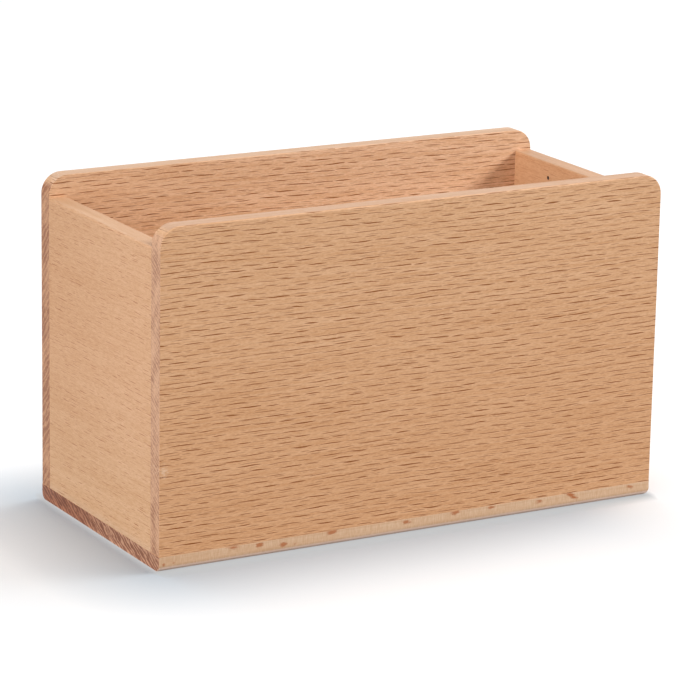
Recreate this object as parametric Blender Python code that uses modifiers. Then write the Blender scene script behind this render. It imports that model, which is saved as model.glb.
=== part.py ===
# Desk pen holder: an open-top box of five beech boards, glued and dowelled together.
# The front and back panels run the full length and stand taller than the two side panels,
# which are held between them. The bottom board lies under all four, flush with their outside.
# Metres, +Z up. The origin is the middle of the underside, and the front face looks along -Y.

from math import cos, pi, radians, sin

import bmesh
import bpy
from mathutils import Matrix, Vector

# Driving dimensions of the box
LENGTH = 0.178                 # outside, left end to right end
DEPTH = 0.084                  # outside, front face to back face
HEIGHT = 0.107                 # underside to the top of the front and back panels
PANEL_THICKNESS = 0.006        # front and back panels
SIDE_THICKNESS = 0.006         # left and right side panels
BASE_THICKNESS = 0.005         # bottom board
SIDE_DROP = 0.007              # tops of the side panels below the tops of the front and back
CORNER_RADIUS = 0.0065         # two top corners of the front and back panels
BASE_ROUNDING = 0.0018         # lower edges of the bottom board, all round
EDGE_EASE = 0.0004             # sanded edges that a hand can reach
GLUE_LINE = 0.0003             # clearance between two glued faces

# Blind dowels, two at each upright corner
DOWEL_DIAMETER = 0.003
DOWEL_LENGTH = 0.014
DOWEL_CHAMFER = 0.0004
DOWEL_COVER = 0.0017           # wood left between a blind dowel hole and the panel's outer face
DOWEL_FROM_EDGE = 0.020        # dowel axis to the side panel's upper or lower edge
DOWEL_CLEARANCE = 0.0003       # round a dowel and past both its ends

# Pin hole in the inner face of the right side panel
PIN_HOLE_DIAMETER = 0.0012
PIN_HOLE_DEPTH = 0.004
PIN_HOLE_BELOW_TOP = 0.0052    # hole axis below the side panel's top
PIN_HOLE_FROM_BACK = 0.0208    # hole axis to the back panel's inner face

# How finely the round shapes are cut
CORNER_STEPS = 10              # facets on each rounded panel corner
EASE_STEPS = 2
ROUNDING_STEPS = 5
DOWEL_SIDES = 16
SQUARE_EDGE = radians(45)      # faces that meet at more than this form an edge
WELD_DISTANCE = 0.000001

# Levels and lengths that follow from the driving dimensions
WALL_FOOT = BASE_THICKNESS + GLUE_LINE
PANEL_HEIGHT = HEIGHT - WALL_FOOT
SIDE_HEIGHT = PANEL_HEIGHT - SIDE_DROP
SIDE_TOP = WALL_FOOT + SIDE_HEIGHT
PANEL_INNER_FACE = DEPTH / 2 - PANEL_THICKNESS
SIDE_LENGTH = 2 * (PANEL_INNER_FACE - GLUE_LINE)
SIDE_INNER_FACE = LENGTH / 2 - SIDE_THICKNESS
SIDE_MIDDLE = LENGTH / 2 - SIDE_THICKNESS / 2
DOWEL_OUTER_END = DEPTH / 2 - DOWEL_COVER - DOWEL_CLEARANCE

# Base colour (linear), roughness and metallic value of each piece
FINISHES = {
    "beech_panel": ((0.62, 0.36, 0.20), 0.55, 0.0),
    "beech_side": ((0.68, 0.43, 0.25), 0.55, 0.0),
    "beech_base": ((0.55, 0.31, 0.18), 0.6, 0.0),
    "beech_dowel": ((0.66, 0.45, 0.28), 0.7, 0.0),
}


def clear_scene():
    for obj in list(bpy.data.objects):
        bpy.data.objects.remove(obj, do_unlink=True)


def new_collection(name):
    collection = bpy.data.collections.new(name)
    bpy.context.scene.collection.children.link(collection)
    return collection


def make_material(name):
    colour, roughness, metallic = FINISHES[name]
    material = bpy.data.materials.new(name)
    material.use_nodes = True
    shader = material.node_tree.nodes["Principled BSDF"]
    shader.inputs["Base Color"].default_value = (*colour, 1.0)
    shader.inputs["Roughness"].default_value = roughness
    shader.inputs["Metallic"].default_value = metallic
    return material


def add_object(name, mesh, collection, material=None, parent=None, location=(0, 0, 0), turn=0.0):
    # A named object that shows the mesh, turned about the vertical and set in its place.
    obj = bpy.data.objects.new(name, mesh)
    obj.location = location
    obj.rotation_euler = (0, 0, turn)
    obj.parent = parent
    if material:
        obj.data.materials.clear()
        obj.data.materials.append(material)
    collection.objects.link(obj)
    return obj


def mesh_from(bm, name):
    # Point the faces outward and shade the shape smooth up to its square edges.
    bmesh.ops.recalc_face_normals(bm, faces=bm.faces)
    mesh = bpy.data.meshes.new(name)
    bm.to_mesh(mesh)
    bm.free()
    mesh.shade_smooth()
    mesh.set_sharp_from_angle(angle=radians(30))
    return mesh


def weigh_edges(bm, weight_of):
    # Give each square edge the share of the bevel width that weight_of works out from its
    # lowest and highest corner.
    weights = bm.edges.layers.float.new("bevel_weight_edge")
    for edge in bm.edges:
        if edge.calc_face_angle(0.0) > SQUARE_EDGE:
            low = Vector(map(min, edge.verts[0].co, edge.verts[1].co))
            high = Vector(map(max, edge.verts[0].co, edge.verts[1].co))
            edge[weights] = weight_of(low, high)


def add_bevel(obj, width, steps):
    bevel = obj.modifiers.new("eased_edges", 'BEVEL')
    bevel.limit_method = 'WEIGHT'
    bevel.width = width
    bevel.segments = steps


def add_holes(obj, cutters):
    holes = obj.modifiers.new("holes", 'BOOLEAN')
    holes.operation = 'DIFFERENCE'
    holes.operand_type = 'COLLECTION'
    holes.collection = cutters
    holes.solver = 'EXACT'


def add_flat_face_shading(obj):
    # Lets the large flat faces set the shading normals, so that a hole's rim leaves no smudge.
    normals = obj.modifiers.new("flat_face_normals", 'WEIGHTED_NORMAL')
    normals.mode = 'FACE_AREA'
    normals.keep_sharp = True


def panel_outline():
    # Face outline, square at the foot, with a quarter circle at each top corner.
    half = LENGTH / 2
    points = [(-half, 0.0), (half, 0.0)]
    for side, first_angle in ((1, 0.0), (-1, pi / 2)):
        centre_x = side * (half - CORNER_RADIUS)
        centre_y = PANEL_HEIGHT - CORNER_RADIUS
        for step in range(CORNER_STEPS + 1):
            angle = first_angle + step * pi / 2 / CORNER_STEPS
            points.append((centre_x + CORNER_RADIUS * cos(angle), centre_y + CORNER_RADIUS * sin(angle)))
    return points


def panel_mesh():
    # The outline as a filled 2D curve, extruded to the panel's thickness and stood upright
    # with its outer face on the plane y = 0 and its thickness towards +Y.
    curve = bpy.data.curves.new("panel_outline", 'CURVE')
    curve.dimensions = '2D'
    curve.fill_mode = 'BOTH'
    curve.extrude = PANEL_THICKNESS / 2
    points = panel_outline()
    spline = curve.splines.new('POLY')
    spline.points.add(len(points) - 1)
    for point, (x, y) in zip(spline.points, points):
        point.co = (x, y, 0.0, 1.0)
    spline.use_cyclic_u = True

    outline = bpy.data.objects.new("panel_outline", curve)
    bpy.context.scene.collection.objects.link(outline)
    evaluated = outline.evaluated_get(bpy.context.evaluated_depsgraph_get())
    flat = bpy.data.meshes.new_from_object(evaluated)
    bpy.data.objects.remove(outline, do_unlink=True)

    bm = bmesh.new()
    bm.from_mesh(flat)
    bpy.data.meshes.remove(flat)
    bmesh.ops.remove_doubles(bm, verts=bm.verts, dist=WELD_DISTANCE)
    bmesh.ops.dissolve_limit(bm, angle_limit=radians(1), verts=bm.verts, edges=bm.edges)
    upright = Matrix.Translation((0, PANEL_THICKNESS / 2, 0)) @ Matrix.Rotation(pi / 2, 4, 'X')
    bmesh.ops.transform(bm, matrix=upright, verts=bm.verts)

    def weight_of(low, high):
        # The outer face is eased all round but at its foot, the inner face only where it
        # stands clear of the side panels. The end of a side panel covers the rest.
        on_face = high.y - low.y < WELD_DISTANCE
        outer = on_face and low.y < PANEL_THICKNESS / 2 and high.z > WELD_DISTANCE
        inner = on_face and low.y > PANEL_THICKNESS / 2 and low.z > SIDE_HEIGHT
        return 1.0 if outer or inner else 0.0

    weigh_edges(bm, weight_of)
    return mesh_from(bm, "panel")


def side_mesh():
    # A board that stands on z = 0 with its outer face on x = 0 and its thickness towards +X.
    # Only its two long top edges can be reached and are eased.
    bm = bmesh.new()
    size = Matrix.Diagonal((SIDE_THICKNESS, SIDE_LENGTH, SIDE_HEIGHT, 1.0))
    place = Matrix.Translation((SIDE_THICKNESS / 2, 0, SIDE_HEIGHT / 2))
    bmesh.ops.create_cube(bm, size=1.0, matrix=place @ size)

    def weight_of(low, high):
        along_top = low.z > SIDE_HEIGHT - WELD_DISTANCE and high.y - low.y > WELD_DISTANCE
        return 1.0 if along_top else 0.0

    weigh_edges(bm, weight_of)
    return mesh_from(bm, "side_panel")


def base_mesh():
    # A flat board that lies on z = 0: its lower edges are rounded over, its corners eased,
    # and its upper edges stay square under the walls.
    bm = bmesh.new()
    size = Matrix.Diagonal((LENGTH, DEPTH, BASE_THICKNESS, 1.0))
    place = Matrix.Translation((0, 0, BASE_THICKNESS / 2))
    bmesh.ops.create_cube(bm, size=1.0, matrix=place @ size)

    def weight_of(low, high):
        if high.z < WELD_DISTANCE:
            return 1.0
        upright = high.z - low.z > WELD_DISTANCE
        return EDGE_EASE / BASE_ROUNDING if upright else 0.0

    weigh_edges(bm, weight_of)
    return mesh_from(bm, "bottom_board")


def cylinder_mesh(name, diameter, length, chamfer=0.0):
    # A round pin from the origin along +Y, with both its rims chamfered.
    bm = bmesh.new()
    lay_down = Matrix.Translation((0, length / 2, 0)) @ Matrix.Rotation(pi / 2, 4, 'X')
    bmesh.ops.create_cone(bm, cap_ends=True, segments=DOWEL_SIDES, radius1=diameter / 2,
                          radius2=diameter / 2, depth=length, matrix=lay_down)
    if chamfer:
        rims = [edge for edge in bm.edges if edge.calc_face_angle(0.0) > SQUARE_EDGE]
        bmesh.ops.bevel(bm, geom=rims, offset=chamfer, segments=1, affect='EDGES')
    return mesh_from(bm, name)


def add_cutter(name, mesh, collection, location, turn):
    cutter = add_object(name, mesh, collection, location=location, turn=turn)
    cutter.display_type = 'WIRE'
    cutter.hide_render = True


def dowel_places():
    # Name, end point and turn of each dowel: its outer end is in the front or back panel,
    # and from there it runs inward along Y into the end of a side panel.
    for across, y_side in (("front", -1), ("back", 1)):
        for end, x_side in (("left", -1), ("right", 1)):
            for level, z in (("lower", WALL_FOOT + DOWEL_FROM_EDGE), ("upper", SIDE_TOP - DOWEL_FROM_EDGE)):
                turn = pi if y_side > 0 else 0.0
                yield f"{across}_{end}_{level}", x_side * SIDE_MIDDLE, y_side, z, turn


def add_dowels(collection, cutters, material, parent):
    dowel = cylinder_mesh("dowel", DOWEL_DIAMETER, DOWEL_LENGTH, DOWEL_CHAMFER)
    hole = cylinder_mesh("dowel_hole", DOWEL_DIAMETER + 2 * DOWEL_CLEARANCE,
                         DOWEL_LENGTH + 2 * DOWEL_CLEARANCE)
    for place, x, y_side, z, turn in dowel_places():
        dowel_at = (x, y_side * DOWEL_OUTER_END, z)
        hole_at = (x, y_side * (DOWEL_OUTER_END + DOWEL_CLEARANCE), z)
        add_object("dowel_" + place, dowel, collection, material, parent, dowel_at, turn)
        add_cutter("dowel_hole_" + place, hole, cutters, hole_at, turn)


def add_pin_hole(cutters):
    # Runs into the right side panel, square to its inner face. The cutter starts one hole
    # depth before that face, so that it cuts cleanly through it.
    cutter = cylinder_mesh("pin_hole", PIN_HOLE_DIAMETER, 2 * PIN_HOLE_DEPTH)
    start = (SIDE_INNER_FACE - PIN_HOLE_DEPTH, PANEL_INNER_FACE - PIN_HOLE_FROM_BACK,
             SIDE_TOP - PIN_HOLE_BELOW_TOP)
    add_cutter("pin_hole", cutter, cutters, start, -pi / 2)


def add_boards(collection, cutters, materials, parent):
    panel = panel_mesh()
    side = side_mesh()
    front_at = (0, -DEPTH / 2, WALL_FOOT)
    back_at = (0, DEPTH / 2, WALL_FOOT)
    left_at = (-LENGTH / 2, 0, WALL_FOOT)
    right_at = (LENGTH / 2, 0, WALL_FOOT)
    walls = (
        ("front_panel", panel, "beech_panel", front_at, 0.0),
        ("back_panel", panel, "beech_panel", back_at, pi),
        ("left_side_panel", side, "beech_side", left_at, 0.0),
        ("right_side_panel", side, "beech_side", right_at, pi),
    )
    for name, mesh, finish, location, turn in walls:
        board = add_object(name, mesh, collection, materials[finish], parent, location, turn)
        add_bevel(board, EDGE_EASE, EASE_STEPS)
        add_holes(board, cutters)
        add_flat_face_shading(board)

    base = add_object("bottom_board", base_mesh(), collection, materials["beech_base"], parent)
    add_bevel(base, BASE_ROUNDING, ROUNDING_STEPS)
    add_flat_face_shading(base)


def build():
    clear_scene()
    collection = new_collection("pen_holder")
    cutters = new_collection("cutters")
    materials = {name: make_material(name) for name in FINISHES}
    holder = bpy.data.objects.new("pen_holder", None)
    collection.objects.link(holder)
    add_dowels(collection, cutters, materials["beech_dowel"], holder)
    add_pin_hole(cutters)
    add_boards(collection, cutters, materials, holder)


build()
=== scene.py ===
import math

import bpy
import numpy as np
from mathutils import Matrix, Vector


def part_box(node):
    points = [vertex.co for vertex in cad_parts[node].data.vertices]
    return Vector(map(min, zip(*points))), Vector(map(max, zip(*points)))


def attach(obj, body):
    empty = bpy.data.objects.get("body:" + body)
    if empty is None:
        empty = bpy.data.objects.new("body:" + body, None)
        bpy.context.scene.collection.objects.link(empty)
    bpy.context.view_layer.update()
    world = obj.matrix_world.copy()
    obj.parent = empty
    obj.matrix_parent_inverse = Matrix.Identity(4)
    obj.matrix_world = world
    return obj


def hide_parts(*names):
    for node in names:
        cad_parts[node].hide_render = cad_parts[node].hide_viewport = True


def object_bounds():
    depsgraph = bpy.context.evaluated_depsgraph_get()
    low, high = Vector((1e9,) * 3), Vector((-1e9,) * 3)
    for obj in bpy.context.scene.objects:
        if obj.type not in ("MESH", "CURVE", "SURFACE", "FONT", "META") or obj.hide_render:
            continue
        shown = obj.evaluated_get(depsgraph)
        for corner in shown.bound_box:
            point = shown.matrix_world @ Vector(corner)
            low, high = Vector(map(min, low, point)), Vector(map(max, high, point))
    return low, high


# Looks of the beech pen holder: an open box of four upright boards on a bottom board.
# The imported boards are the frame. X runs along the box, Y from front to back, Z up.

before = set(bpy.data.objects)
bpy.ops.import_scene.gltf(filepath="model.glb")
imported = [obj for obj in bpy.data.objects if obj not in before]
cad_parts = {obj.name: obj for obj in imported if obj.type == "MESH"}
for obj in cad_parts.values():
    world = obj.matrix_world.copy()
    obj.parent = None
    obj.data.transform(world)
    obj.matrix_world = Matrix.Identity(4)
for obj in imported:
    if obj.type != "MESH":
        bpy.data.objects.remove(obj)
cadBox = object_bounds()
print("frame loaded:", len(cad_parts), "nodes")

mm = 0.001
perMetre = 1000  # the patterns in the materials are sized in mm
white = (1, 1, 1, 1)

# Camera and lamps.
camera = {
    "place": (-0.545356, -0.953823, 0.347116),
    "turn": 29.7564,  # degrees from +Y towards +X
    "tilt": 15.1732,  # degrees below the horizon
    "roll": 1.09,
    "lens": 182.905,
    "sensorWidth": 36.0,
    "nearest": 0.05,  # metres from it at which its view starts and ends
    "farthest": 20.0,
}

studio = {
    "floorSize": 6.0,
    "floorPaper": (0.875, 0.888, 0.9),  # how pale the paper looks
    "paintedShadowTint": (0.69, 0.77, 0.84),  # painted shadow: the paper times this right beside the box, darker, and cooler against the wood's warm light
    "shadeReach": (38, 48),  # mm beside and before the box over which the painted shadow fades
    "shadeEnd": (50, 88),  # mm along X over which it also fades out towards the right
    "contactGlow": 0.58,  # painted light: level of the glow that lightens the gap under the rounded front edge
    "contactShare": 0.9,  # how far it is lightened right at the box
    "contactReach": 6,  # mm before the box over which that fades
    "contactSideFall": 0.38,  # how much of it is lost with each mm past the box's end
    "floorGlow": 0.12,  # how much of its light the paper gives back to the wood
    "nearGlow": 0.5,  # the same right beside the box
    "nearReach": 11,  # mm over which the second changes to the first
    "skyLight": 0.39,
    "lampDistance": 2.2,
    "dullLamps": ("softBoxBehind",),  # lights the back without a glare on the top edges
    "aim": (0, 0, 0.05),
}

# Square soft boxes: degrees round from the front towards the right, degrees up, watts, side in metres.
woodLamps = {
    "softBoxLeft": (-70, 18, 43, 1.3),
    "softBoxRight": (58, 28, 46, 0.5),
    "softBoxBehind": (180, 13, 32, 0.9),
}
floorLamps = {
    "floorBoxRight": (90, 60, 24, 1.3),
    "floorBoxBehind": (180, 60, 9, 1.3),
    "floorBoxAbove": (0, 88, 19, 1.3),
}


def addCamera(plan):
    data = bpy.data.cameras.new("camera")
    data.sensor_width = plan["sensorWidth"]
    data.lens = plan["lens"]
    data.clip_start = plan["nearest"]
    data.clip_end = plan["farthest"]
    data.dof.use_dof = False
    item = bpy.data.objects.new("camera", data)
    turn = Matrix.Rotation(math.radians(-plan["turn"]), 4, "Z")
    tilt = Matrix.Rotation(math.radians(90 - plan["tilt"]), 4, "X")
    roll = Matrix.Rotation(math.radians(plan["roll"]), 4, "Z")
    item.matrix_world = Matrix.Translation(plan["place"]) @ turn @ tilt @ roll
    bpy.context.scene.collection.objects.link(item)
    bpy.context.scene.camera = item


def addLamp(name, plan, lit):
    # a square lamp on a sphere round the object; lit is the light-linking group that it shines on
    turn, rise, power, side = plan
    around, up = math.radians(turn), math.radians(rise)
    outward = Vector((math.sin(around) * math.cos(up), -math.cos(around) * math.cos(up), math.sin(up)))
    data = bpy.data.lights.new(name, "AREA")
    data.shape = "SQUARE"
    data.size = side
    data.energy = power
    item = bpy.data.objects.new(name, data)
    item.location = Vector(studio["aim"]) + outward * studio["lampDistance"]
    item.rotation_euler = outward.to_track_quat("Z", "Y").to_euler()
    bpy.context.scene.collection.objects.link(item)
    item.light_linking.receiver_collection = lit
    item.visible_glossy = name not in studio["dullLamps"]


addCamera(camera)
bpy.context.scene.view_settings.view_transform = "Standard"
print("camera placed")


class Wire:
    # One socket that can be used in sums. Each operation adds one Math node to its tree.
    def __init__(self, sheet, socket):
        self.sheet = sheet
        self.socket = socket

    def maths(self, operation, *values):
        return self.sheet.node("ShaderNodeMath", {"operation": operation}, dict(enumerate(values)))

    def __add__(self, other):
        return self.maths("ADD", self, other)

    def __radd__(self, other):
        return self.maths("ADD", other, self)

    def __sub__(self, other):
        return self.maths("SUBTRACT", self, other)

    def __rsub__(self, other):
        return self.maths("SUBTRACT", other, self)

    def __mul__(self, other):
        return self.maths("MULTIPLY", self, other)

    def __rmul__(self, other):
        return self.maths("MULTIPLY", other, self)

    def __truediv__(self, other):
        return self.maths("DIVIDE", self, other)

    def __pow__(self, other):
        return self.maths("POWER", self, other)

    def __abs__(self):
        return self.maths("ABSOLUTE", self)

    def over(self, limit):
        # 1 above the limit, 0 elsewhere
        return self.maths("GREATER_THAN", self, limit)

    def most(self, other):
        return self.maths("MAXIMUM", self, other)

    def sine(self):
        return self.maths("SINE", self)

    def ramp(self, low, high):
        # smooth climb from 0 at low to 1 at high
        values = {"Value": self, "From Min": low, "From Max": high}
        return self.sheet.node("ShaderNodeMapRange", {"interpolation_type": "SMOOTHSTEP"}, values)


class Sheet:
    # The node tree of one material or world.
    def __init__(self, tree):
        self.tree = tree
        tree.nodes.clear()

    def node(self, kind, settings=None, values=None, out=0):
        # One node of any type: settings first, then each socket's value or link; gives back one output.
        made = self.tree.nodes.new(kind)
        for name, value in (settings or {}).items():
            setattr(made, name, value)
        for name, value in (values or {}).items():
            if isinstance(value, Wire):
                self.tree.links.new(value.socket, made.inputs[name])
            else:
                made.inputs[name].default_value = value
        return Wire(self, made.outputs[out]) if made.outputs else made

    def outputs(self, names, kind, settings=None, values=None):
        # the named outputs of one new node
        made = self.node(kind, settings, values).socket.node
        return [Wire(self, made.outputs[name]) for name in names]

    def parts(self, vector):
        return self.outputs(("X", "Y", "Z"), "ShaderNodeSeparateXYZ", {}, {0: vector})

    def join(self, x, y, z):
        return self.node("ShaderNodeCombineXYZ", {}, {0: x, 1: y, 2: z})

    def mix(self, share, under, over, blend="MIX"):
        # two colours; the Mix node keeps its colour sockets at 6 and 7
        settings = {"data_type": "RGBA", "blend_type": blend}
        return self.node("ShaderNodeMix", settings, {0: share, 6: under, 7: over}, out=2)

    def mixShaders(self, share, under, over):
        return self.node("ShaderNodeMixShader", {}, {0: share, 1: under, 2: over})

    def noise(self, place, detail, roughness):
        # soft random field from 0 to 1 whose features are one unit apart
        values = {"Vector": place, "Scale": 1.0, "Detail": detail, "Roughness": roughness}
        return self.node("ShaderNodeTexNoise", {"noise_dimensions": "3D"}, values)


def colour(red, green, blue):
    # 0 to 255 screen values to Blender's linear colour, by the standard screen curve
    screen = np.array([red, green, blue]) / 255
    linear = np.where(screen <= 0.04045, screen / 12.92, ((screen + 0.055) / 1.055) ** 2.4)
    return (*linear.tolist(), 1.0)


def tinted(shade, tint):
    # a colour times a tint, worked out channel by channel
    return (*[part * factor for part, factor in zip(shade, tint)], 1.0)


def seenRays(sheet):
    # 1 for rays that show the surroundings, 0 for those that only carry light
    names = ("Is Camera Ray", "Is Glossy Ray", "Is Transmission Ray")
    direct, glossy, through = sheet.outputs(names, "ShaderNodeLightPath")
    return direct.most(glossy).most(through)


def addWorld(plan):
    # white to look at, dimmer as a light
    world = bpy.data.worlds.new("studio")
    bpy.context.scene.world = world
    world.use_nodes = True
    sheet = Sheet(world.node_tree)
    light = sheet.node("ShaderNodeBackground", {}, {"Color": white, "Strength": plan["skyLight"]})
    shown = sheet.node("ShaderNodeBackground", {}, {"Color": white, "Strength": 1.0})
    both = sheet.mixShaders(seenRays(sheet), light, shown)
    sheet.node("ShaderNodeOutputWorld", {}, {"Surface": both})


def addFloor(plan):
    # A flat square sheet of four corners, half the size each way. Its paper carries a painted shadow,
    # darker and cooler by the share 1 - the distance from the box, where that is in reaches beside the
    # box and before it.
    half = plan["floorSize"] / 2
    corners = np.array([(-1, -1, 0), (1, -1, 0), (1, 1, 0), (-1, 1, 0)]) * half
    mesh = bpy.data.meshes.new("floor")
    mesh.from_pydata(corners.tolist(), [], [(0, 1, 2, 3)])
    item = bpy.data.objects.new("floor", mesh)
    bpy.context.scene.collection.objects.link(item)
    material = bpy.data.materials.new("floorPaper")
    material.use_nodes = True
    sheet = Sheet(material.node_tree)
    (place,) = sheet.outputs(("Object",), "ShaderNodeTexCoord")
    x, y, _ = [part * perMetre for part in sheet.parts(place)]
    boxHigh = cadBox[1]
    besideX = (abs(x) - boxHigh[0] * perMetre).most(0.0)
    besideY = (abs(y) - boxHigh[1] * perMetre).most(0.0)

    # what the camera sees: the paper with its painted shadow, and a painted glow that lightens the gap
    # under the box's front edge
    reachX, reachY = plan["shadeReach"]
    shade = (1 - ((besideX / reachX) ** 2 + (besideY / reachY) ** 2) ** 0.5).most(0.0)
    shade = shade * (1 - x.ramp(*plan["shadeEnd"]))
    paper = (*plan["floorPaper"], 1)
    paintedShadowPaper = tinted(paper, plan["paintedShadowTint"])
    seen = sheet.node("ShaderNodeBsdfDiffuse", {}, {"Color": sheet.mix(shade, paper, paintedShadowPaper)})
    # painted light: a glow on the paper that lifts the shade in the gap under the front edge
    contact = (1 - besideY / plan["contactReach"] - besideX * plan["contactSideFall"]).most(0.0)
    paintedContactGlow = sheet.node("ShaderNodeEmission", {}, {"Color": white, "Strength": plan["contactGlow"]})
    seen = sheet.mixShaders(contact * plan["contactShare"], seen, paintedContactGlow)

    # what the wood gets back: more from the paper close to the box
    distance = (besideX ** 2 + besideY ** 2) ** 0.5
    near = (1 - distance / plan["nearReach"]).most(0.0)
    glows = [(level, level, level, 1) for level in (plan["floorGlow"], plan["nearGlow"])]
    dull = sheet.node("ShaderNodeBsdfDiffuse", {}, {"Color": sheet.mix(near, *glows)})
    both = sheet.mixShaders(seenRays(sheet), dull, seen)
    sheet.node("ShaderNodeOutputMaterial", {}, {"Surface": both})
    mesh.materials.append(material)
    return item


def lightGroup(name, floor, state):
    # INCLUDE lights the floor alone, EXCLUDE everything but the floor
    group = bpy.data.collections.new(name)
    group.objects.link(floor)
    group.collection_objects[0].light_linking.link_state = state
    return group


addWorld(studio)
floor = addFloor(studio)
onFloor = lightGroup("litByFloorLamps", floor, "INCLUDE")
onWood = lightGroup("litByWoodLamps", floor, "EXCLUDE")
for lampName, lampPlan in floorLamps.items():
    addLamp(lampName, lampPlan, onFloor)
for lampName, lampPlan in woodLamps.items():
    addLamp(lampName, lampPlan, onWood)
print("floor, surroundings and lamps made")


# The wood.
beech = {
    "pale": colour(219, 174, 136),
    "warm": colour(194, 142, 98),
    "fleck": colour(126, 66, 0),
    "hair": colour(150, 78, 8),
    "endPale": colour(214, 168, 136),
    "endDark": colour(146, 96, 70),
    "edgePale": colour(226, 186, 150),
    "edgeWarm": colour(203, 155, 114),
    "blotch": colour(168, 102, 60),
    "scuff": colour(230, 200, 172),
    # painted shade: the dark of the inside of the pin hole
    "bore": colour(52, 24, 12),
    "turned": (0.72, 0.92),  # part of its normal along an axis at which a face starts and ends to change
    "faceShift": 53,  # mm by which the pattern differs on a board's two faces
    "boardShift": 17.3,  # mm by which it differs from one seed to the next
    "wander": 2.2,  # mm that the fibres wander over their length
    "halo": 0.13,  # how much paler the wood is close round a mark
    "fibres": 0.65,  # how strongly the finest fibres show in a sawn face
    "endRays": 0.5,  # the same of the patterns in the end grain
    "endClouds": 1.0,
    "endPores": 0.6,
    "ringClouds": (2.4, 0.4),  # the rings' strength is clouds times the first less the second
    "edgeLines": 0.5,  # the same of the patterns in a narrow edge
    "edgeBands": 0.6,
    "edgeFibres": 0.4,
    "blotchRagged": (1.6, 1.2),  # how far streaks and mottle tear the rim of a ray mark
    "scuffRagged": (3.0, 0.3),  # how far mottle tears the scuff's rim, and how far that is drawn in
    "roughness": 0.5,
    "fibreRoughness": 0.2,
    "markRoughness": 0.1,
    "fibreHeight": 0.4,
    "streakHeight": 0.3,
    "markDepth": 0.3,
    "bump": 0.35,
    "bumpHeight": 0.0001,
    "ior": 1.43,
}

# Size of each pattern, in mm along the grain, across the board and through it where nothing else is said.
patternSizes = {
    "wander": (70, 45),
    "ripple": (7, 4),
    "bands": (120, 11, 14),
    "lines": (32, 0.9, 1.4),
    "streaks": (4.5, 0.55, 1.1),
    "mottle": (1.1, 0.42, 0.6),
    "fibres": (2.2, 0.2, 0.3),
    "clumps": (16, 9),
    "drift": (6, 2),  # along the growth rings and across them
    "rays": (0.35, 2.2),  # the same
    "clouds": (9, 4),  # across the board and through it
    "pores": (0.4, 0.4, 0.4),
    "upright": (0.4, 2.5),  # along the edge and through the board
}

# Marks on the sawn face, in mm: cell length and height, half length and half thickness, softness of
# the rim, how far a mark may stray from an even layout, strength of the faintest, offset of the pattern.
longFlecks = {
    "cell": (9.4, 1.85),
    "half": (4.7, 0.158),
    "soft": 0.02,
    "stray": 0.4,
    "least": 0.55,
    "offset": 11.3,
}
middleFlecks = {
    "cell": (6.2, 1.35),
    "half": (2.9, 0.112),
    "soft": 0.02,
    "stray": 0.44,
    "least": 0.3,
    "offset": 37.7,
}
fineFlecks = {
    "cell": (2.8, 0.75),
    "half": (1.1, 0.1),
    "soft": 0.025,
    "stray": 0.65,
    "least": 0.1,
    "offset": 5.1,
}
hairFlecks = {
    "cell": (6.0, 1.25),
    "half": (3.0, 0.11),
    "soft": 0.035,
    "stray": 1.0,
    "least": 0.0,
    "offset": 23.9,
}
spindle = {
    "slant": 0.5,  # cell lengths that each row of marks is moved on
    "lengths": (0.5, 0.7),  # share of the half length that each mark has, and what chance may add
    "thicknesses": (0.6, 0.6),
    "haloReach": 0.45,  # mm
}
spotRim = (1.3, 0.9)  # how far out a spot's rim starts and how wide it is, in shares of its half size


def fleckMask(sheet, along, across, marks):
    # In each cell of a stretched, slanted cell pattern one spindle: at x from its middle its half
    # thickness is h(1 - (x/l)^2), so it tapers to a point at both ends. The second mask is the paler
    # wood close round it.
    cellLength, cellHeight = marks["cell"]
    slant = spindle["slant"]
    v = across / cellHeight + marks["offset"]
    u = along / cellLength + slant * v
    values = {"Vector": sheet.join(u, v, 0.0), "Scale": 1.0, "Randomness": marks["stray"]}
    settings = {"voronoi_dimensions": "2D"}
    draws, middle = sheet.outputs(("Color", "Position"), "ShaderNodeTexVoronoi", settings, values)
    lengthDraw, thickDraw, depthDraw = sheet.parts(draws)
    middleU, middleV, _ = sheet.parts(middle)
    x = (u - middleU - slant * (v - middleV)) * cellLength
    y = (v - middleV) * cellHeight
    leastLength, moreLength = spindle["lengths"]
    leastThick, moreThick = spindle["thicknesses"]
    halfLength = marks["half"][0] * (leastLength + moreLength * lengthDraw)
    halfThick = marks["half"][1] * (leastThick + moreThick * thickDraw)
    inside = halfThick * (1 - (x / halfLength) ** 2) - abs(y)
    depth = marks["least"] + (1 - marks["least"]) * depthDraw
    core = inside.ramp(-marks["soft"], marks["soft"]) * depth
    halo = inside.ramp(-spindle["haloReach"], 0.0) * depth
    return core, halo


def spot(place, middle, half, ragged):
    # 1 inside an ellipse, 0 outside, with a ragged rim that fades out
    u = (place[0] - middle[0]) / half[0]
    v = (place[1] - middle[1]) / half[1]
    start, width = spotRim
    return (start - (u ** 2 + v ** 2) ** 0.5 + ragged).ramp(0.0, width)


def faded(sheet, shade, place, fades):
    # a colour times tints that change along an axis: axis, start and end in mm, tint at each
    for axis, start, end, first, last in fades:
        share = (place[axis] * perMetre).ramp(start, end)
        shade = sheet.mix(1.0, shade, sheet.mix(share, (*first, 1.0), (*last, 1.0)), "MULTIPLY")
    return shade


def swung(start, *fields):
    # a start value plus each field's swing about its middle, times its strength
    for field, strength in fields:
        start = start + (field - 0.5) * strength
    return start


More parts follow.
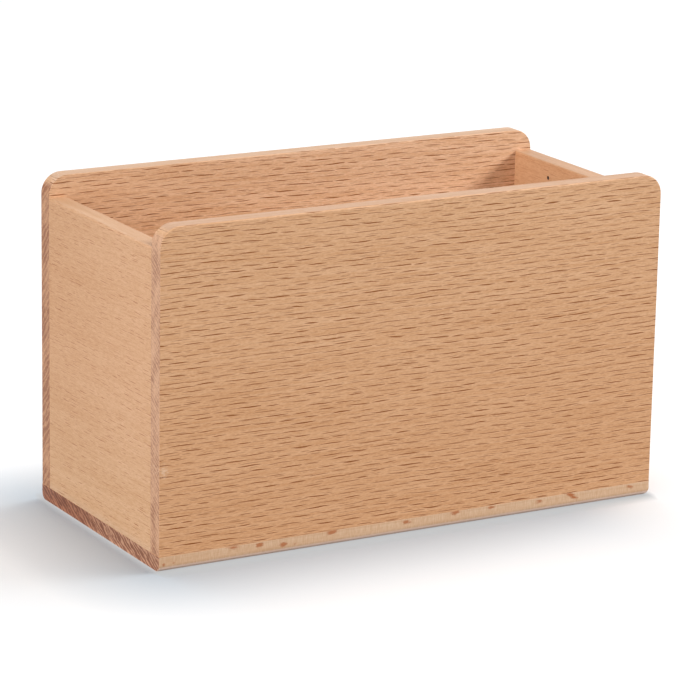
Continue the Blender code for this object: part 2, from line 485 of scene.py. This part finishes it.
def beechMaterial(name, grain):
    # grain["axes"] says which of x, y, z (0, 1, 2) runs along the grain, across the board and through it.
    material = bpy.data.materials.new(name)
    material.use_nodes = True
    sheet = Sheet(material.node_tree)
    source, normal = sheet.outputs(("Object", "Normal"), "ShaderNodeTexCoord")
    place = sheet.parts(source)
    facing = sheet.parts(normal)
    seed = grain["seed"]
    along, across, through = [place[axis] * perMetre for axis in grain["axes"]]
    alongFacing, acrossFacing, throughFacing = [facing[axis] for axis in grain["axes"]]
    endShare = abs(alongFacing).ramp(*beech["turned"])
    edgeShare = abs(acrossFacing).ramp(*beech["turned"])

    def pattern(kind, wires, shift, detail=1.0, roughness=0.5):
        # noise of that pattern's size; the shift moves it along the third direction, and is made
        # from the seed in a way of its own for each pattern that has only two sizes
        sized = [wire / size for wire, size in zip(wires, patternSizes[kind])]
        if len(sized) == 3:
            sized[2] = sized[2] + shift
        else:
            sized.append(shift)
        return sheet.noise(sheet.join(*sized), detail, roughness)

    # the fibres lean by the tilt and wander a little; the two faces of a board differ
    run = along + throughFacing.over(0.0) * beech["faceShift"] + seed * beech["boardShift"]
    lean = across + along * math.tan(math.radians(grain["tilt"]))
    wander = pattern("wander", (run, across), seed * 1.7)
    ripple = pattern("ripple", (run, across), seed * 2.3)
    level = swung(lean, (wander, beech["wander"]), (ripple, grain["ripple"]))

    # broad tone bands, long thin lines, short streaks, mottle and the finest fibres
    solid = (run, level, through)
    bands = pattern("bands", solid, seed)
    lines = pattern("lines", solid, seed)
    streaks = pattern("streaks", solid, seed)
    mottle = pattern("mottle", solid, seed)
    fibres = pattern("fibres", solid, seed, detail=2.0, roughness=0.6)
    tone = swung(
        0.5,
        (bands, grain["bands"]),
        (lines, grain["lines"]),
        (streaks, grain["streaks"]),
        (mottle, grain["mottle"]),
        (fibres, beech["fibres"]),
    )
    clumps = swung(1, (pattern("clumps", (run, level), seed + 4), grain["clumps"]))
    mark, halo = 0.0, 0.0
    for flecks, strength in grain["marks"]:
        core, rim = fleckMask(sheet, run, level, flecks)
        mark = (core * strength).most(mark)
        halo = halo + rim * strength
    mark = mark * clumps
    tone = tone - halo * beech["halo"] * clumps
    faceColour = sheet.mix(tone.ramp(0.0, 1.0), beech["pale"], beech["warm"])
    faceColour = sheet.mix(mark, faceColour, beech[grain["markColour"]])
    faceColour = faded(sheet, faceColour, place, grain["fades"])
    if "innerPaintedLight" in grain:  # painted light: only on the face that looks into the box, lighter lower down and a little darker at the top
        innerLitColour = faded(sheet, faceColour, place, grain["innerPaintedLight"])
        faceColour = sheet.mix((0 - throughFacing).over(0.5), faceColour, innerLitColour)

    # end grain: growth rings cut slantwise as waves that drift, with rays, clouds and pores
    slope = math.radians(grain["ringSlope"])
    ringRun = across * math.cos(slope) + through * math.sin(slope)
    ringStep = through * math.cos(slope) - across * math.sin(slope)
    drift = pattern("drift", (ringRun, ringStep), seed, detail=2.0, roughness=0.6)
    rings = ((ringStep / grain["ringPitch"] + drift * grain["ringDrift"]) * math.tau).sine()
    rays = pattern("rays", (ringRun, ringStep), seed * 1.9)
    clouds = pattern("clouds", (across, through), seed * 3.1, detail=2.0)
    pores = pattern("pores", (across, through, along), 0.0)
    ringGain, ringLoss = beech["ringClouds"]
    ringTone = 0.5 + rings * (clouds * ringGain - ringLoss) * grain["ringDepth"]
    endPatterns = (rays, beech["endRays"]), (clouds, beech["endClouds"]), (pores, beech["endPores"])
    endTone = swung(ringTone, *endPatterns) + grain["endShade"]
    endPale, endDark = [tinted(beech[part], grain["endTint"]) for part in ("endPale", "endDark")]
    endColour = sheet.mix(endTone.ramp(0.0, 1.0), endPale, endDark)
    endColour = faded(sheet, endColour, place, grain.get("endFades", []))

    # narrow edge along the grain: smooth and pale, with thin lines, upright rays and a few ray marks
    upright = pattern("upright", (along, through), seed)
    edgeTone = swung(
        0.5,
        (lines, beech["edgeLines"]),
        (bands, beech["edgeBands"]),
        (fibres, beech["edgeFibres"]),
        (upright, grain["upright"]),
    )
    edgePale, edgeWarm = [tinted(beech[part], grain["edgeTint"]) for part in ("edgePale", "edgeWarm")]
    edgeColour = sheet.mix(edgeTone.ramp(0.0, 1.0), edgePale, edgeWarm)
    streakTear, mottleTear = beech["blotchRagged"]
    ragged = (streaks - 0.5) * streakTear + (mottle - 0.5) * mottleTear
    inFront = (0 - acrossFacing).over(0.0)
    for u, v, halfU, halfV, rise, strength in grain.get("blotches", []):
        slanted = (along, through + along * rise)
        share = spot(slanted, (u, v + u * rise), (halfU, halfV), ragged) * inFront * strength
        edgeColour = sheet.mix(share, edgeColour, beech["blotch"])

    wood = sheet.mix(edgeShare, faceColour, edgeColour)
    wood = sheet.mix(endShare, wood, endColour)
    if "scuff" in grain:
        middle, half, strength = grain["scuff"]
        tear, inset = beech["scuffRagged"]
        share = spot((along, across), middle, half, (mottle - 0.5) * tear - inset) * strength
        wood = sheet.mix(share, wood, beech["scuff"])
    if "bore" in grain:  # the drilled wall of a hole, painted dark as its shade
        middle, radius, deepest = grain["bore"]
        reach = ((along - middle[0]) ** 2 + (across - middle[1]) ** 2) ** 0.5
        inPaintedHoleShade = (radius - reach).over(0.0) * (deepest - through).over(0.0)
        wood = sheet.mix(inPaintedHoleShade, wood, beech["bore"])
    if "rim" in grain:  # the rounded lower edges of the bottom board, paler the more they turn down: painted reflection of the pale floor and painted light from it
        start, end, strength, paintedFloorLight = grain["rim"]
        wood = sheet.mix((0 - throughFacing).ramp(start, end) * strength, wood, paintedFloorLight)

    roughness = swung(beech["roughness"], (fibres, beech["fibreRoughness"]))
    roughness = roughness + mark * beech["markRoughness"]
    height = fibres * beech["fibreHeight"] + streaks * beech["streakHeight"] - mark * beech["markDepth"]
    bumps = {"Strength": beech["bump"], "Distance": beech["bumpHeight"], "Height": height}
    bump = sheet.node("ShaderNodeBump", {}, bumps)
    values = {"Base Color": wood, "Roughness": roughness, "Normal": bump, "IOR": beech["ior"]}
    surface = sheet.node("ShaderNodeBsdfPrincipled", {}, values)
    sheet.node("ShaderNodeOutputMaterial", {}, {"Surface": surface})
    return material


# How every board is made.
boardMesh = {
    "straight": 24,  # points between two corners of the outline
    "profile": 4,  # steps over each eased edge
    "leastRadius": 0.03 * mm,
    "longWave": (0.10, 3, 40),  # uneven eases: share of the ease, waves per round, shift per metre
    "shortWave": (0.06, 11, 1.3),  # the same, but one shift for all
    "holeSides": 24,
}


def drill(item, holes):
    # Round holes: each cutter is a closed tube of circle points at its start and its end. The result
    # is applied to the mesh, and the cutter is removed.
    sides = boardMesh["holeSides"]
    angle = np.arange(sides) * math.tau / sides
    points, faces = [], []
    for start, axis, radius, depth in holes:
        first = len(points) * 2 * sides
        across = np.eye(3)[[(axis + 1) % 3, (axis + 2) % 3]]
        circle = radius * (np.cos(angle)[:, None] * across[0] + np.sin(angle)[:, None] * across[1])
        points.append(np.vstack([start + circle, start + circle + np.eye(3)[axis] * depth]))
        near = first + np.arange(sides)
        after = np.roll(near, -1)
        faces += np.stack([near, after, after + sides, near + sides], 1).tolist()
        faces += [near[::-1].tolist(), (near + sides).tolist()]
    mesh = bpy.data.meshes.new("drill")
    mesh.from_pydata(np.vstack(points).tolist(), [], faces)
    cutter = bpy.data.objects.new("drill", mesh)
    bpy.context.scene.collection.objects.link(cutter)
    bore = item.modifiers.new("bore", "BOOLEAN")
    bore.operation = "DIFFERENCE"
    bore.solver = "EXACT"
    bore.object = cutter
    bpy.context.view_layer.update()
    bored = bpy.data.meshes.new_from_object(item.evaluated_get(bpy.context.evaluated_depsgraph_get()))
    bored.name = item.data.name
    item.modifiers.remove(bore)
    item.data = bored
    bpy.data.objects.remove(cutter)
    bpy.data.meshes.remove(mesh)


def boardShell(low, high, radii, easeLow, easeHigh, arc):
    # A closed board. A rounded rectangle from low to high is carried through the thickness, and its
    # inset follows a quarter circle at each face: inset e(1 - sin a) at depth e(1 - cos a).
    # The outline's four corners go round from (low, low), each with arc steps; side k joins corner k
    # to corner k + 1.
    straight = boardMesh["straight"]
    corner = np.repeat(np.arange(4), arc + 1 + straight)
    order = np.tile(np.arange(arc + 1 + straight), 4)
    onArc = order <= arc
    turn = np.where(onArc, order / arc, 1.0)  # share of the corner's quarter turn
    reach = np.where(onArc, 0.0, (order - arc) / (straight + 1))  # share of the side's length
    angle = np.radians(180 + 90 * corner + 90 * turn)
    normal = np.stack([np.cos(angle), np.sin(angle)], 1)
    ends = np.array([(low[0], low[1]), (high[0], low[1]), (high[0], high[1]), (low[0], high[1])])
    inward = np.array([(1, 1), (-1, 1), (-1, -1), (1, -1)])
    following = (corner + 1) % 4
    radius = np.array(radii)

    def easeAlong(sides):
        # from the side before the corner to the side after it, with a slight hand-sanded unevenness
        sides = np.array(sides)
        plain = sides[(corner + 3) % 4] * (1 - turn) + sides[corner] * turn
        run = (corner + reach) * np.pi / 2
        longShare, longWaves, shiftPerMetre = boardMesh["longWave"]
        shortShare, shortWaves, shortShift = boardMesh["shortWave"]
        longSwing = longShare * np.sin(longWaves * run + low[0] * shiftPerMetre)
        shortSwing = shortShare * np.sin(shortWaves * run + shortShift)
        return plain * (1 + longSwing + shortSwing)

    def ring(inset):
        # outline at that inset from the nominal one; a small radius is kept so that no corner collapses
        def at(which):
            small = np.maximum(radius[which] - inset, boardMesh["leastRadius"])[:, None]
            return ends[which] + inward[which] * (inset[:, None] + small) + small * normal

        return at(corner) * (1 - reach[:, None]) + at(following) * reach[:, None]

    profile = np.radians(np.linspace(0, 90, boardMesh["profile"] + 1))
    lowEase, highEase = easeAlong(easeLow), easeAlong(easeHigh)
    rows = []
    for a in profile:
        rows.append((lowEase * (1 - np.sin(a)), low[2] + lowEase * (1 - np.cos(a))))
    for a in profile[::-1]:
        rows.append((highEase * (1 - np.sin(a)), high[2] - highEase * (1 - np.cos(a))))
    points = np.stack([np.column_stack([ring(inset), depth]) for inset, depth in rows])
    count = len(corner)
    index = np.arange(len(rows) * count).reshape(len(rows), count)
    after = np.roll(index, -1, axis=1)
    quads = np.stack([index[:-1], after[:-1], after[1:], index[1:]], 2).reshape(-1, 4)
    faces = quads.tolist() + [index[0][::-1].tolist(), index[-1].tolist()]
    return points.reshape(-1, 3), faces


def addBoard(plan):
    # The shell is worked out with its face in the first two coordinates, then laid along the
    # board's own axes.
    low, high = np.array(plan["low"]), np.array(plan["high"])
    axes = list(plan["lay"])
    eases = plan["easeLow"], plan["easeHigh"]
    points, faces = boardShell(low[axes], high[axes], plan["radii"], *eases, plan["arc"])
    placed = np.empty_like(points)
    placed[:, axes] = points
    mirrored = np.linalg.det(np.eye(3)[axes]) < 0  # such a layout turns the faces inside out
    if mirrored:
        faces = [face[::-1] for face in faces]
    mesh = bpy.data.meshes.new(plan["name"])
    mesh.from_pydata(placed.tolist(), [], faces)
    mesh.polygons.foreach_set("use_smooth", np.ones(len(faces), bool))
    mesh.update()
    mesh.materials.append(plan["material"])
    item = bpy.data.objects.new(plan["name"], mesh)
    bpy.context.scene.collection.objects.link(item)
    if plan["holes"]:
        drill(item, plan["holes"])
    flat = item.modifiers.new("flatFaces", "WEIGHTED_NORMAL")
    flat.weight = 100
    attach(item, "root")
    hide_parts(plan["node"])
    print("made", plan["name"], len(faces), "faces")


frontLow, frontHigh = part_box("front_panel")
backLow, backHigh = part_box("back_panel")
leftLow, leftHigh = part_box("left_side_panel")
rightLow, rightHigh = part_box("right_side_panel")
baseLow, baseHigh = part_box("bottom_board")
seat = baseHigh.z  # the walls stand on the bottom board
innerFront = frontHigh.y
innerBack = backLow.y

# Blind holes, as start point, axis, radius and depth. Each dowel sits in one bore through both of its
# boards, with the same play all round and past both ends.
dowelPlay = 0.3 * mm
dowelNames = [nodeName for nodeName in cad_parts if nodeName.startswith("dowel")]
dowelHoles = {}
for nodeName in dowelNames:
    dowelLow, dowelHigh = [np.array(corner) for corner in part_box(nodeName)]
    start = (dowelLow + dowelHigh) / 2
    start[1] = dowelLow[1] - dowelPlay
    radius = (dowelHigh[0] - dowelLow[0]) / 2 + dowelPlay
    dowelHoles[nodeName] = (start, 1, radius, dowelHigh[1] - dowelLow[1] + 2 * dowelPlay)


def holesOf(word):
    return [hole for nodeName, hole in dowelHoles.items() if word in nodeName]


# The grain of the other boards starts from this one.
frontGrain = {
    "axes": (0, 2, 1),
    "tilt": 0.3,  # degrees
    "seed": 1.0,
    "ripple": 0.6,  # mm
    "bands": 0.2,  # how strongly each pattern shows
    "lines": 0.81,
    "streaks": 0.3,
    "mottle": 0.65,
    "upright": 0.2,
    "marks": [(longFlecks, 1.16), (middleFlecks, 0.68), (fineFlecks, 0.36)],
    "markColour": "fleck",
    "clumps": 0.1,  # how unevenly the marks are spread
    "ringSlope": 56,  # degrees
    "ringPitch": 1.3,  # mm
    "ringDrift": 2.2,
    "ringDepth": 0.16,
    "endShade": -0.1,  # more is darker
    # painted shade on the front panel: darker and warmer towards the bottom
    "fades": [(2, 15, 95, (0.985, 0.94, 0.885), (1.01, 1.015, 1.005))],  # see faded
    "edgeTint": (0.835, 0.82, 0.857),
    "endTint": (0.96, 0.96, 0.93),
}
frontScuff = ((-87.5, 32), (1.6, 2.3), 0.5)  # in mm: middle and half sizes, then strength
frontPanel = {
    "name": "frontPanel",
    "node": "front_panel",
    "slot": "front_panel",
    "low": (frontLow.x, frontLow.y, seat),
    "high": frontHigh,
    "lay": (0, 2, 1),  # along X, up Z, through Y
    "radii": (0.2 * mm, 0.2 * mm, 6.5 * mm, 6.5 * mm),
    "easeLow": (0.12 * mm, 0.4 * mm, 0.55 * mm, 0.4 * mm),  # outer face: bottom, right, top, left
    "easeHigh": (0.1 * mm, 0.1 * mm, 0.35 * mm, 0.1 * mm),
    "arc": 12,
    "holes": holesOf("front"),
    "material": beechMaterial("beechFront", {**frontGrain, "scuff": frontScuff}),
}
addBoard(frontPanel)

backGrain = {
    **frontGrain,
    "tilt": 0.4,
    "seed": 2.0,
    "ringSlope": -40,
    "ringPitch": 1.8,
    "ringDepth": 0.24,
    "endShade": 0.15,
    # painted light: paler, and lighter towards the right
    "fades": [(0, -70, 60, (0.985, 1.03, 1.1), (1.07, 1.155, 1.295))],
    # painted light inside the box: lighter lower down, a little darker near the top
    "innerPaintedLight": [(2, 84, 101, (1.13, 1.11, 1.09), (0.97, 0.965, 0.955))],
    "edgeTint": (0.894, 0.92, 0.989),
    "endTint": (0.94, 0.89, 0.78),
}
backPanel = {
    "name": "backPanel",
    "node": "back_panel",
    "slot": "back_panel",
    "low": (backLow.x, backLow.y, seat),
    "high": backHigh,
    "lay": (0, 2, 1),
    "radii": (0.2 * mm, 0.2 * mm, 6.5 * mm, 6.5 * mm),
    "easeLow": (0.1 * mm, 0.1 * mm, 0.35 * mm, 0.1 * mm),
    "easeHigh": (0.12 * mm, 0.4 * mm, 0.4 * mm, 0.4 * mm),
    "arc": 12,
    "holes": holesOf("back"),
    "material": beechMaterial("beechBack", backGrain),
}
addBoard(backPanel)

leftGrain = {
    **frontGrain,
    "axes": (1, 2, 0),
    "tilt": 1.2,
    "seed": 3.0,
    "ripple": 0.3,
    "bands": 0.5,
    "lines": 0.4,
    "streaks": 0.35,
    "mottle": 0.5,
    "marks": [(hairFlecks, 0.75), (fineFlecks, 0.3)],
    "markColour": "hair",
    "clumps": 1.4,
    "fades": [
        # painted shade: darker towards the back
        (1, -36, 36, (0.98, 0.98, 0.99), (0.9, 0.87, 0.83)),
        # painted light from the floor: paler lower down
        (2, 10, 55, (1.02, 1.08, 1.11), (1.0, 1.01, 1.02)),
        (2, 5, 8, (0.97, 1.02, 1.1), (1.0, 1.0, 1.0)),
    ],
    "edgeTint": (0.903, 0.869, 0.847),
}
leftSide = {
    "name": "leftSidePanel",
    "node": "left_side_panel",
    "slot": "side_panels",
    "low": (leftLow.x, innerFront, seat),
    "high": (leftHigh.x, innerBack, leftHigh.z),
    "lay": (1, 2, 0),  # along Y, up Z, through X
    "radii": (0.1 * mm, 0.1 * mm, 0.1 * mm, 0.1 * mm),
    "easeLow": (0.1 * mm, 0.08 * mm, 0.9 * mm, 0.08 * mm),
    "easeHigh": (0.1 * mm, 0.08 * mm, 0.4 * mm, 0.08 * mm),
    "arc": 4,
    "holes": holesOf("left"),
    "material": beechMaterial("beechLeftSide", leftGrain),
}
addBoard(leftSide)

rightGrain = {
    **leftGrain,
    "tilt": 0.0,
    "seed": 4.0,
    "marks": [(hairFlecks, 0.5), (fineFlecks, 0.2)],
    "fades": [(2, 5, 100, (0.94, 0.902, 0.878), (0.94, 0.902, 0.878))],
    "edgeTint": (0.869, 0.83, 0.83),
}
pinHole = {
    "diameter": 1.2 * mm,
    "depth": 4 * mm,
    "fromBack": 20.8 * mm,
    "belowTop": 5.2 * mm,
    "darkMargin": (0.03, 0.1),  # mm round the hole and past its end that its painted shade still fills
}
pinStart = (
    rightLow.x - pinHole["depth"],
    innerBack - pinHole["fromBack"],
    rightHigh.z - pinHole["belowTop"],
)
pinHoleShade = (
    (pinStart[1] / mm, pinStart[2] / mm),
    pinHole["diameter"] / mm / 2 + pinHole["darkMargin"][0],
    (rightLow.x + pinHole["depth"]) / mm + pinHole["darkMargin"][1],
)
rightSide = {
    "name": "rightSidePanel",
    "node": "right_side_panel",
    "slot": "side_panels",
    "low": (rightLow.x, innerFront, seat),
    "high": (rightHigh.x, innerBack, rightHigh.z),
    "lay": (1, 2, 0),
    "radii": (0.1 * mm, 0.1 * mm, 0.1 * mm, 0.1 * mm),
    "easeLow": (0.1 * mm, 0.08 * mm, 0.6 * mm, 0.08 * mm),
    "easeHigh": (0.1 * mm, 0.08 * mm, 0.35 * mm, 0.08 * mm),
    "arc": 4,
    "holes": [*holesOf("right"), (np.array(pinStart), 0, pinHole["diameter"] / 2, 2 * pinHole["depth"])],
    "material": beechMaterial("beechRightSide", {**rightGrain, "bore": pinHoleShade}),
}
addBoard(rightSide)

bottomGrain = {
    **frontGrain,
    "axes": (0, 1, 2),
    "tilt": 1.0,
    "seed": 5.0,
    "ringSlope": 29,
    "ringPitch": 1.45,
    "ringDepth": 0.8,
    "ringDrift": 2.9,
    "endShade": 0.2,
    "endFades": [
        (1, -14, 22, (1.03, 1.04, 1.04), (0.715, 0.55, 0.46)),
        # painted light from the floor: the end is lighter at its foot
        (2, 0.2, 2.6, (1.2, 1.2, 1.22), (1.0, 1.0, 1.0)),
        (2, 3.6, 5.0, (1.0, 1.0, 1.0), (1.1, 1.16, 1.2)),
    ],
    "upright": 0.9,
    "edgeTint": (0.885, 0.945, 1.01),
    "endTint": (0.7, 0.63, 0.61),
    # the rim is painted light and reflection from the floor
    "rim": (0.2, 0.5, 0.92, colour(238, 209, 192)),  # start and end of its turn down, strength, colour
    # brown ray marks on the front edge, in mm: along, up, half sizes, lean, strength
    "blotches": [
        (-87.4, 2.5, 0.5, 0.6, 0.0, 0.8),
        (-84.1, 2.5, 0.6, 0.45, 0.0, 0.6),
        (-64.0, 4.6, 1.9, 0.7, 0.0, 0.9),
        (-54.7, 4.0, 1.4, 0.8, 0.0, 0.9),
        (-46.2, 2.9, 1.3, 0.8, 0.0, 0.9),
        (-42.3, 2.5, 0.5, 0.5, 0.0, 0.6),
        (-29.3, 4.5, 1.7, 0.7, 0.0, 0.9),
        (-2.6, 4.0, 1.4, 0.75, 0.0, 0.9),
        (15.6, 4.6, 1.8, 0.65, 0.0, 0.9),
        (28.6, 4.4, 1.5, 0.65, 0.0, 0.9),
        (46.6, 3.9, 1.2, 0.7, 0.0, 0.85),
        (58.8, 4.1, 2.2, 0.8, 0.5, 1.0),
        (81.4, 4.0, 1.2, 0.6, 0.3, 0.8),
    ],
}
bottomBoard = {
    "name": "bottomBoard",
    "node": "bottom_board",
    "slot": "bottom_board",
    "low": baseLow,
    "high": baseHigh,
    "lay": (1, 2, 0),  # its profile is across Y and up Z, carried along X
    "radii": (2.4 * mm, 2.4 * mm, 0.15 * mm, 0.15 * mm),
    "easeLow": (0.25 * mm, 0.2 * mm, 0.12 * mm, 0.2 * mm),
    "easeHigh": (1.6 * mm, 0.3 * mm, 0.12 * mm, 0.3 * mm),
    "arc": 10,
    "holes": [],
    "material": beechMaterial("beechBottom", bottomGrain),
}
addBoard(bottomBoard)

# The dowels keep their own meshes.
dowelWood = beechMaterial("beechDowel", {**frontGrain, "tilt": 0.0, "seed": 6.0})
for nodeName in dowelNames:
    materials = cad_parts[nodeName].data.materials
    materials.clear()
    materials.append(dowelWood)
print("dowels given their wood:", len(dowelNames))
